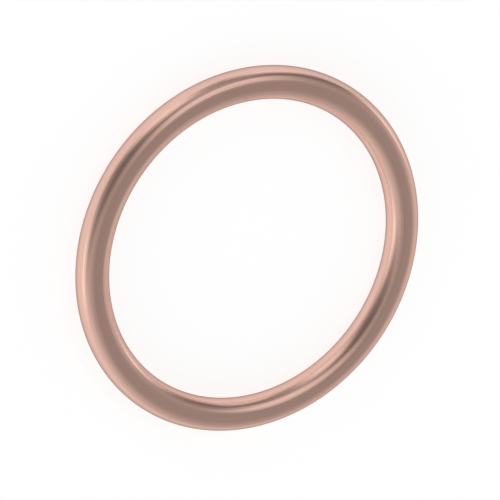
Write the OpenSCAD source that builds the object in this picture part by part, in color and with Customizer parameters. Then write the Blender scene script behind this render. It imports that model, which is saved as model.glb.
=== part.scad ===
// Copper sealing ring of flat-oval section: the wall of the bore and the outside
// wall are full round, with a narrow flat sealing face above and below.
// The origin is on the ring's axis, in the plane of the lower sealing face.

/* [Ring] */
// Diameter of the bore, at the narrowest place of its round wall
bore_d = 28; // [10:0.5:30]
// Largest diameter of the ring
outer_d = 34; // [32:0.5:60]
// Thickness along the axis, from one sealing face to the other
thickness = 2.5; // [1:0.1:4]

/* [Hidden] */

copper = [0.8, 0.65, 0.59];
// Segments of a drawn circle, round the axis and round the section
ring_segments = 120;
section_segments = 48;

// Width of the section, from the bore to the outside
section_w = (outer_d - bore_d) / 2;
// Radius of the round walls, which take the whole of the section's shorter side
wall_r = min(section_w, thickness) / 2;
// What the round walls leave flat: the width of a sealing face, and of a section
// that is taller than it is wide, the height of its straight walls
face_w = section_w - 2 * wall_r;
wall_h = thickness - 2 * wall_r;

// A disc of the section, whose low left corner is at the given radius and height
module round_wall(radius, height) {
    translate([radius + wall_r, height + wall_r])
        circle(r = wall_r, $fn = section_segments);
}

// The section, with the radius along X and the height above the lower face along Y
module section() {
    round_wall(bore_d / 2, 0);
    round_wall(bore_d / 2 + face_w, wall_h);
    if (face_w > 0)
        translate([bore_d / 2 + wall_r, 0])
            square([face_w, thickness]);
    if (wall_h > 0)
        translate([bore_d / 2, wall_r])
            square([section_w, wall_h]);
}

module sealing_ring() {
    color(copper)
        rotate_extrude($fn = ring_segments)
            section();
}

sealing_ring();
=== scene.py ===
"""Looks of a copper sealing ring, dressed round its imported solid, in metres.

The ring lies on its lower sealing face. The camera looks down on it and is rolled,
so that the picture shows the ring standing up as it does in the photograph.
"""

from __future__ import annotations

import logging
import math
from dataclasses import dataclass
from enum import Enum

import bpy
from mathutils import Matrix, Vector

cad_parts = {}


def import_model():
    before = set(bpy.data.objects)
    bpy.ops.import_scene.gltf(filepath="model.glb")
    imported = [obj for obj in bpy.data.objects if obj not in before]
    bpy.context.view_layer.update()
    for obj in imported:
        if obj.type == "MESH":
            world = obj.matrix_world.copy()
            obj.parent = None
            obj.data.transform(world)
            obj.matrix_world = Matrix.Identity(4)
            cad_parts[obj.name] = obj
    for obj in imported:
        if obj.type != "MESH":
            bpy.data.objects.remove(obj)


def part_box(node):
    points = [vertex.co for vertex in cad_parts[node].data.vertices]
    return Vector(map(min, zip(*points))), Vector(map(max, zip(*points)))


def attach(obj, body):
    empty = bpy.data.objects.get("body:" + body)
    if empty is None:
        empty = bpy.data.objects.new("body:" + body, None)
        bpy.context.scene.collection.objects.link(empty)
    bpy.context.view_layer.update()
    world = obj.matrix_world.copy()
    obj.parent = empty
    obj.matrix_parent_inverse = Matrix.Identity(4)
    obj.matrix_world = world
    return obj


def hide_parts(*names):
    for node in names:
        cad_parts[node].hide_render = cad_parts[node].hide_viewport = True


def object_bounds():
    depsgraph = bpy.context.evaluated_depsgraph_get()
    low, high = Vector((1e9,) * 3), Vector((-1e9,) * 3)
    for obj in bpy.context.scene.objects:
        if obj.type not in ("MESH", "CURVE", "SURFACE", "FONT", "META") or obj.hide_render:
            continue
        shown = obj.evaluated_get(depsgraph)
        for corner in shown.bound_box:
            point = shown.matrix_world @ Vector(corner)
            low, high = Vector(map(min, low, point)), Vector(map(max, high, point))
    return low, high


LOG = logging.getLogger("sealing_ring")
BAKE_MAP = "OFBake"
MM_PER_M = 1000.0
WHITE = (1.0, 1.0, 1.0, 1.0)

Colour = tuple[float, float, float]


def polar(azimuth: float, elevation: float) -> Vector:
    """Unit vector towards a place in the studio.

    Args:
        azimuth: Degrees round the ring's axis, 0 beyond the ring as the camera sees
            it, growing towards +X.
        elevation: Degrees above the floor.

    Returns:
        The direction from the ring, in the row frame.
    """
    turn = math.radians(azimuth)
    rise = math.radians(elevation)
    level = math.cos(rise)
    return Vector((math.sin(turn) * level, math.cos(turn) * level, math.sin(rise)))


class NodeTree:
    """Small helper that adds linked nodes to a shader or geometry tree."""

    def __init__(self, tree: bpy.types.NodeTree) -> None:
        """Keeps the tree to add to, and empties it."""
        self.tree = tree
        tree.nodes.clear()

    def add(self, kind: str, settings: dict | None = None, **inputs: object) -> bpy.types.Node:
        """Adds a node.

        Args:
            kind: Blender's name of the node type.
            settings: The node's own properties.
            **inputs: Values or output sockets for its inputs. A name is the input's
                with underscores for spaces, and in0, in1 count the inputs from the top.

        Returns:
            The new node.
        """
        node = self.tree.nodes.new(kind)
        for name, value in (settings or {}).items():
            setattr(node, name, value)
        for name, value in inputs.items():
            key = int(name[2:]) if name[2:].isdigit() else name.replace("_", " ")
            self.feed(node.inputs[key], value)
        return node

    def feed(self, socket: bpy.types.NodeSocket, value: object) -> None:
        """Gives an input its value.

        Args:
            socket: The input.
            value: An output socket to link to it, or a value of its own.
        """
        if isinstance(value, bpy.types.NodeSocket):
            self.tree.links.new(value, socket)
        else:
            socket.default_value = value

    def operate(self, kind: str, operation: str, *values: object) -> bpy.types.Node:
        """Adds a node that works out its inputs in their order.

        Args:
            kind: Blender's name of the node type.
            operation: What it does with them.
            *values: Values or output sockets for its inputs, from the top.

        Returns:
            The new node.
        """
        node = self.add(kind, {"operation": operation})
        for socket, value in zip(node.inputs, values, strict=False):
            self.feed(socket, value)
        return node

    def scalar(self, operation: str, *values: object) -> bpy.types.NodeSocket:
        """Adds a Math node and returns its result."""
        return self.operate("ShaderNodeMath", operation, *values).outputs[0]

    def vector(self, operation: str, *values: object) -> bpy.types.Node:
        """Adds a Vector Math node and returns it."""
        return self.operate("ShaderNodeVectorMath", operation, *values)


class Socket(Enum):
    """Socket types of a group's interface."""

    NUMBER = "NodeSocketFloat"
    COUNT = "NodeSocketInt"
    FINISH = "NodeSocketMaterial"
    SHAPE = "NodeSocketGeometry"


@dataclass(frozen=True)
class RingSizes:
    """Driving sizes of the ring, in metres.

    The bore repeats the part's own value, because the solid's box doesn't show it.
    """

    outer_d: float
    thickness: float
    bore_d: float = 0.028

    @classmethod
    def from_node(cls, node: str) -> RingSizes:
        """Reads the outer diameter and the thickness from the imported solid."""
        low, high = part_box(node)
        return cls(outer_d=high.y - low.y, thickness=high.z - low.z)

    @property
    def section_w(self) -> float:
        """Width of the section, from the bore to the outside."""
        return (self.outer_d - self.bore_d) / 2

    @property
    def mean_r(self) -> float:
        """Radius of the circle that the section's middle runs along."""
        return (self.outer_d + self.bore_d) / 4

    @property
    def wall_r(self) -> float:
        """Radius of the section's round walls."""
        return self.thickness / 2


@dataclass(frozen=True)
class CopperFinish:
    """Satin copper with faint forming lines that run round the ring.

    The tints are linear colours. The scales are in features to the metre, and the
    spread of a noise is the part of its range that its values fill.
    """

    tint: Colour = (0.825, 0.53, 0.441)
    deep_tint: Colour = (0.775, 0.498, 0.414)
    edge_tint: Colour = (0.4, 0.4, 0.41)
    roughness: float = 0.25
    roughness_change: float = 0.04
    line_scale: float = 7000.0
    line_wander: float = 1.5
    line_detail: float = 2.0
    line_depth: float = 0.000006
    cloud_scale: float = 220.0
    cloud_detail: float = 3.0
    spread: tuple[float, float] = (0.3, 0.7)

    def material(self) -> bpy.types.Material:
        """Builds the finish.

        Returns:
            The material, which reads Object coordinates only.
        """
        material = bpy.data.materials.new("copper")
        material.use_nodes = True
        tree = NodeTree(material.node_tree)
        place = tree.add("ShaderNodeTexCoord").outputs["Object"]
        lines = self.forming_lines(tree, place)
        clouds = self.clouds(tree, place)
        worn = tree.scalar("DIVIDE", tree.scalar("ADD", lines, clouds), 2.0)
        # Inputs 6 and 7 of this node are the two colours that it mixes.
        tints = {"in6": (*self.tint, 1), "in7": (*self.deep_tint, 1)}
        colour = tree.add("ShaderNodeMix", {"data_type": "RGBA"}, in0=worn, **tints)
        rough = tree.add(
            "ShaderNodeMapRange",
            Value=worn,
            To_Min=self.roughness - self.roughness_change,
            To_Max=self.roughness + self.roughness_change,
        )
        bump = tree.add("ShaderNodeBump", Strength=1.0, Distance=self.line_depth, Height=lines)
        surface = tree.add(
            "ShaderNodeBsdfPrincipled",
            Base_Color=colour.outputs[2],
            Metallic=1.0,
            Roughness=rough.outputs["Result"],
            Normal=bump.outputs["Normal"],
            Specular_Tint=(*self.edge_tint, 1),
        )
        tree.add("ShaderNodeOutputMaterial", Surface=surface.outputs["BSDF"])
        return material

    def fill(self, tree: NodeTree, noise: bpy.types.Node) -> bpy.types.NodeSocket:
        """Stretches a noise to fill the range from 0 to 1.

        Args:
            tree: The material's nodes.
            noise: The noise texture.

        Returns:
            The stretched noise.
        """
        low, high = self.spread
        value = noise.outputs["Fac"]
        full = tree.add("ShaderNodeMapRange", Value=value, From_Min=low, From_Max=high)
        return full.outputs["Result"]

    def clouds(self, tree: NodeTree, place: bpy.types.NodeSocket) -> bpy.types.NodeSocket:
        """Adds the soft patches that annealing leaves.

        Args:
            tree: The material's nodes.
            place: Object coordinates.

        Returns:
            How strong the patches are, from 0 to 1.
        """
        noise = tree.add(
            "ShaderNodeTexNoise", Vector=place, Scale=self.cloud_scale, Detail=self.cloud_detail
        )
        return self.fill(tree, noise)

    def forming_lines(self, tree: NodeTree, place: bpy.types.NodeSocket) -> bpy.types.NodeSocket:
        """Adds streaks that run round the axis and vary across the section.

        Args:
            tree: The material's nodes.
            place: Object coordinates.

        Returns:
            The height of the streaks, from 0 to 1.
        """
        parts = tree.add("ShaderNodeSeparateXYZ", Vector=place).outputs
        level = tree.add("ShaderNodeCombineXYZ", X=parts["X"], Y=parts["Y"]).outputs[0]
        radius = tree.vector("LENGTH", level).outputs["Value"]
        outward = tree.vector("NORMALIZE", level).outputs["Vector"]
        heading = tree.add("ShaderNodeSeparateXYZ", Vector=outward).outputs
        across = tree.add(
            "ShaderNodeCombineXYZ",
            X=tree.scalar("MULTIPLY", radius, self.line_scale),
            Y=tree.scalar("MULTIPLY", parts["Z"], self.line_scale),
            Z=tree.scalar("MULTIPLY", heading["X"], self.line_wander),
        )
        noise = tree.add(
            "ShaderNodeTexNoise",
            {"noise_dimensions": "4D"},
            Vector=across.outputs[0],
            W=tree.scalar("MULTIPLY", heading["Y"], self.line_wander),
            Scale=1.0,
            Detail=self.line_detail,
        )
        return self.fill(tree, noise)


@dataclass
class SealingRing:
    """The ring itself: a flat-oval section swept round the axis.

    Its flat map holds equal lengths of the ring as strips, with a gutter round each
    that is a share of the strip.
    """

    sizes: RingSizes
    finish: CopperFinish
    segments_round: int = 360
    segments_corner: int = 24
    weld: float = 0.000001
    strips: int = 2
    gutter: float = 0.008

    def build(self) -> bpy.types.Object:
        """Sweeps the section into a plain mesh and dresses it.

        Returns:
            The ring's object, at the origin, with its place in its mesh.
        """
        carrier = bpy.data.objects.new("sweep", bpy.data.meshes.new("sweep"))
        bpy.context.scene.collection.objects.link(carrier)
        modifier = carrier.modifiers.new("sweep", "NODES")
        modifier.node_group = self.sweep_tree()
        values = {
            "Bore Diameter": self.sizes.bore_d,
            "Outer Diameter": self.sizes.outer_d,
            "Thickness": self.sizes.thickness,
            "Segments Round": self.segments_round,
            "Segments Corner": self.segments_corner,
            "Finish": self.finish.material(),
        }
        for item in modifier.node_group.interface.items_tree:
            if item.in_out == "INPUT" and item.name in values:
                modifier[item.identifier] = values[item.name]
        depsgraph = bpy.context.evaluated_depsgraph_get()
        swept = carrier.evaluated_get(depsgraph)
        mesh = bpy.data.meshes.new_from_object(swept, depsgraph=depsgraph)
        bpy.data.objects.remove(carrier)
        mesh.name = "ring"
        self.unroll(mesh)
        ring = bpy.data.objects.new("ring", mesh)
        bpy.context.scene.collection.objects.link(ring)
        return ring

    def turns(self, place: Vector) -> Vector:
        """Finds where a point of the surface lies, in turns from 0 to 1.

        Args:
            place: The point.

        Returns:
            How far round the axis it is, and how far round the section from the edge
            where the wall of the bore meets the lower face.
        """
        sizes = self.sizes
        edge = math.atan2(-sizes.wall_r, sizes.wall_r - sizes.section_w / 2)
        beyond = math.hypot(place.x, place.y) - sizes.mean_r
        heading = math.atan2(place.y, place.x)
        bearing = math.atan2(place.z - sizes.wall_r, beyond) - edge
        return Vector((heading / math.tau % 1, bearing / math.tau % 1))

    def inset(self, share: float) -> float:
        """Leaves the gutter at both ends of a strip's length or width."""
        return self.gutter + share * (1 - 2 * self.gutter)

    def unroll(self, mesh: bpy.types.Mesh) -> None:
        """Lays the surface out in the flat map that a bake of the finish goes by.

        Args:
            mesh: The ring's mesh.
        """
        flat = mesh.uv_layers.new(name=BAKE_MAP)
        turns = [self.turns(vertex.co) for vertex in mesh.vertices]
        for face in mesh.polygons:
            middle = self.turns(face.center)
            strip = math.floor(middle.x * self.strips)
            for corner, vertex in zip(face.loop_indices, face.vertices, strict=True):
                # A corner on a seam takes the turn that is next to its face's middle.
                pairs = zip(turns[vertex], middle, strict=True)
                along, across = (own + round(mid - own) for own, mid in pairs)
                along = self.inset(along * self.strips - strip)
                across = (self.inset(across) + strip) / self.strips
                flat.uv[corner].vector = (along, across)

    def sweep_tree(self) -> bpy.types.NodeTree:
        """Builds the geometry tree that sweeps the section round the axis.

        Returns:
            The tree. Its inputs are the ring's sizes, its segments and its finish.
        """
        group = bpy.data.node_groups.new("ring_sweep", "GeometryNodeTree")
        sockets = {
            "Bore Diameter": Socket.NUMBER,
            "Outer Diameter": Socket.NUMBER,
            "Thickness": Socket.NUMBER,
            "Segments Round": Socket.COUNT,
            "Segments Corner": Socket.COUNT,
            "Finish": Socket.FINISH,
        }
        for name, kind in sockets.items():
            group.interface.new_socket(name, in_out="INPUT", socket_type=kind.value)
        group.interface.new_socket("Ring", in_out="OUTPUT", socket_type=Socket.SHAPE.value)
        tree = NodeTree(group)
        given = tree.add("NodeGroupInput").outputs
        bore, outer, thick = given["Bore Diameter"], given["Outer Diameter"], given["Thickness"]
        width = tree.scalar("DIVIDE", tree.scalar("SUBTRACT", outer, bore), 2.0)
        mean_r = tree.scalar("DIVIDE", tree.scalar("ADD", outer, bore), 4.0)
        wall_r = tree.scalar("DIVIDE", thick, 2.0)
        oblong = tree.add("GeometryNodeCurvePrimitiveQuadrilateral", Width=width, Height=thick)
        section = tree.add(
            "GeometryNodeFilletCurve",
            {"mode": "POLY"},
            Curve=oblong.outputs["Curve"],
            Count=given["Segments Corner"],
            Radius=wall_r,
            Limit_Radius=True,
        )
        path = tree.add(
            "GeometryNodeCurvePrimitiveCircle",
            Resolution=given["Segments Round"],
            Radius=mean_r,
        )
        swept = tree.add(
            "GeometryNodeCurveToMesh",
            Curve=path.outputs["Curve"],
            Profile_Curve=section.outputs["Curve"],
        )
        lift = tree.add("ShaderNodeCombineXYZ", Z=wall_r).outputs["Vector"]
        steps = (
            ("GeometryNodeTransform", {"Translation": lift}),
            ("GeometryNodeMergeByDistance", {"Distance": self.weld}),
            ("GeometryNodeSetShadeSmooth", {"Shade_Smooth": True}),
            ("GeometryNodeRealizeInstances", {}),
            ("GeometryNodeSetMaterial", {"Material": given["Finish"]}),
        )
        shape = swept.outputs["Mesh"]
        for kind, inputs in steps:
            shape = tree.add(kind, Geometry=shape, **inputs).outputs["Geometry"]
        tree.add("NodeGroupOutput", Ring=shape)
        return group


@dataclass(frozen=True)
class PaperFinish:
    """White paper that takes the ring's shadow.

    It is a grey that the studio lights, and a glow that only the camera and what
    metal or glass shows can see, so that the two together make white.
    """

    grey: float = 0.45
    glow: float = 0.755

    def material(self) -> bpy.types.Material:
        """Builds the finish.

        Returns:
            The material.
        """
        material = bpy.data.materials.new("paper")
        material.use_nodes = True
        tree = NodeTree(material.node_tree)
        ray = tree.add("ShaderNodeLightPath").outputs
        seen = tree.scalar("MAXIMUM", ray["Is Camera Ray"], ray["Is Glossy Ray"])
        seen = tree.scalar("MAXIMUM", seen, ray["Is Transmission Ray"])
        paper = tree.add("ShaderNodeBsdfDiffuse", Color=(self.grey, self.grey, self.grey, 1))
        shown = tree.scalar("MULTIPLY", seen, self.glow)
        glow = tree.add("ShaderNodeEmission", Color=WHITE, Strength=shown)
        both = tree.add("ShaderNodeAddShader", in0=paper.outputs[0], in1=glow.outputs[0])
        tree.add("ShaderNodeOutputMaterial", Surface=both.outputs[0])
        return material


@dataclass(frozen=True)
class Floor:
    """Plain round floor that turns up at its rim.

    The rim lets a level view end in white too.
    """

    finish: PaperFinish = PaperFinish()
    radius: float = 1.4
    rim_w: float = 0.25
    rim_h: float = 0.13
    rim_steps: int = 8
    sides: int = 96
    drop: float = 0.00001

    def profile(self) -> list[tuple[float, float]]:
        """Lists the circles of the floor, from the inside.

        Returns:
            The radius and height of each circle.
        """
        circles = [(self.radius, -self.drop)]
        for step in range(1, self.rim_steps + 1):
            turn = math.pi / 2 * step / self.rim_steps
            beyond = self.rim_w * math.sin(turn)
            above = self.rim_h * (1 - math.cos(turn))
            circles.append((self.radius + beyond, above))
        return circles

    def lay(self) -> bpy.types.Object:
        """Lays the floor just under the ring's lower face.

        Returns:
            The floor's object, at the origin.
        """
        circles = self.profile()
        headings = [math.tau * side / self.sides for side in range(self.sides)]
        spokes = [(math.cos(heading), math.sin(heading)) for heading in headings]
        corners = [(r * x, r * y, height) for r, height in circles for x, y in spokes]
        faces = [tuple(range(self.sides))]
        for row in range(len(circles) - 1):
            low, high = row * self.sides, (row + 1) * self.sides
            for side in range(self.sides):
                following = (side + 1) % self.sides
                faces.append((low + side, high + side, high + following, low + following))
        mesh = bpy.data.meshes.new("floor")
        mesh.from_pydata(corners, [], faces)
        mesh.materials.append(self.finish.material())
        floor = bpy.data.objects.new("floor", mesh)
        bpy.context.scene.collection.objects.link(floor)
        return floor


@dataclass(frozen=True)
class SoftBox:
    """A soft box or pale wall of the studio, or with a negative strength a dark card.

    It is a round patch of the world that fades out from its middle. Angles are in
    degrees as the ring sees them.
    """

    azimuth: float
    elevation: float
    reach: float
    strength: float

    def glow(self, tree: NodeTree, direction: bpy.types.NodeSocket) -> bpy.types.NodeSocket:
        """Adds the patch to the world's nodes.

        Args:
            tree: The world's nodes.
            direction: The direction that is looked in.

        Returns:
            What the patch adds to the world's brightness there.
        """
        towards = polar(self.azimuth, self.elevation)
        aligned = tree.vector("DOT_PRODUCT", direction, towards).outputs["Value"]
        patch = tree.add(
            "ShaderNodeMapRange",
            {"interpolation_type": "SMOOTHSTEP"},
            Value=aligned,
            From_Min=math.cos(math.radians(self.reach)),
            From_Max=1.0,
            To_Min=0.0,
            To_Max=self.strength,
        )
        return patch.outputs["Result"]


@dataclass(frozen=True)
class StudioLight:
    """Plain soft light: a sky, soft boxes, pale walls and dark cards.

    The sky's brightness runs from sky_low at the horizon to sky_high at an elevation
    of sky_turn degrees.
    """

    sky_low: float = 0.71
    sky_high: float = 0.34
    sky_turn: float = 66.0
    overhead: SoftBox = SoftBox(azimuth=-92, elevation=64, reach=26, strength=0.7)
    front_left: SoftBox = SoftBox(azimuth=-150, elevation=18, reach=26, strength=0.71)
    back_left: SoftBox = SoftBox(azimuth=-44, elevation=5, reach=18, strength=1.25)
    low_left: SoftBox = SoftBox(azimuth=-96, elevation=-5, reach=30, strength=1.27)
    low_right: SoftBox = SoftBox(azimuth=132, elevation=0, reach=36, strength=0.62)
    right_wall: SoftBox = SoftBox(azimuth=121, elevation=15, reach=90, strength=0.31)
    back_wall: SoftBox = SoftBox(azimuth=-14, elevation=18, reach=31, strength=0.19)
    left_card: SoftBox = SoftBox(azimuth=-86, elevation=-25, reach=77, strength=-0.66)
    camera_card: SoftBox = SoftBox(azimuth=167, elevation=30, reach=49, strength=-0.475)

    def patches(self) -> tuple[SoftBox, ...]:
        """Lists what lights and shades the studio.

        Returns:
            The soft boxes, the pale walls and the dark cards.
        """
        boxes = (self.overhead, self.front_left, self.back_left, self.low_left, self.low_right)
        walls = (self.right_wall, self.back_wall)
        cards = (self.left_card, self.camera_card)
        return (*boxes, *walls, *cards)

    def shine(self) -> None:
        """Makes the world that lights the ring and the floor."""
        world = bpy.data.worlds.new("studio")
        world.use_nodes = True
        bpy.context.scene.world = world
        tree = NodeTree(world.node_tree)
        direction = tree.add("ShaderNodeTexCoord").outputs["Generated"]
        rise = tree.add("ShaderNodeSeparateXYZ", Vector=direction).outputs["Z"]
        sky = tree.add(
            "ShaderNodeMapRange",
            Value=rise,
            From_Min=0.0,
            From_Max=math.sin(math.radians(self.sky_turn)),
            To_Min=self.sky_low,
            To_Max=self.sky_high,
        )
        brightness = sky.outputs["Result"]
        for patch in self.patches():
            brightness = tree.scalar("ADD", brightness, patch.glow(tree, direction))
        lit = tree.scalar("MAXIMUM", brightness, 0.0)
        background = tree.add("ShaderNodeBackground", Color=WHITE, Strength=lit)
        tree.add("ShaderNodeOutputWorld", Surface=background.outputs[0])


@dataclass(frozen=True)
class CameraStand:
    """The camera at the photograph's angle.

    Angles are in degrees, and the lens and the sensor in millimetres.
    """

    azimuth: float = 180.0
    elevation: float = 55.91
    roll: float = 123.88
    distance: float = 0.3605
    lens: float = 292.9
    sensor: float = 36.0
    clip_start: float = 0.01
    clip_end: float = 10.0

    def place(self, centre: Vector) -> None:
        """Puts the camera in the scene.

        Args:
            centre: What it is aimed at.
        """
        lens = bpy.data.cameras.new("camera")
        lens.lens = self.lens
        lens.sensor_width = self.sensor
        lens.clip_start = self.clip_start
        lens.clip_end = self.clip_end
        camera = bpy.data.objects.new("camera", lens)
        bpy.context.scene.collection.objects.link(camera)
        back = polar(self.azimuth, self.elevation)
        level = (-back).to_track_quat("-Z", "Y").to_matrix().to_4x4()
        roll = Matrix.Rotation(math.radians(self.roll), 4, "Z")
        camera.matrix_world = Matrix.Translation(centre + back * self.distance) @ level @ roll
        bpy.context.scene.camera = camera


def main() -> None:
    """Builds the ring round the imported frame, and the studio it is seen in."""
    logging.basicConfig(level=logging.INFO, format="%(name)s: %(message)s")
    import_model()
    cad_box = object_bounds()
    bpy.context.scene.view_settings.view_transform = "Standard"
    CameraStand().place((cad_box[0] + cad_box[1]) / 2)
    sizes = RingSizes.from_node("sealing_ring")
    ring = SealingRing(sizes, CopperFinish()).build()
    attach(ring, "root")
    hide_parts("sealing_ring")
    width_mm = sizes.section_w * MM_PER_M
    LOG.info("ring: %d faces, section %.2f mm wide", len(ring.data.polygons), width_mm)
    floor = Floor().lay()
    LOG.info("floor: %d faces", len(floor.data.polygons))
    StudioLight().shine()


if __name__ == "__main__":
    main()
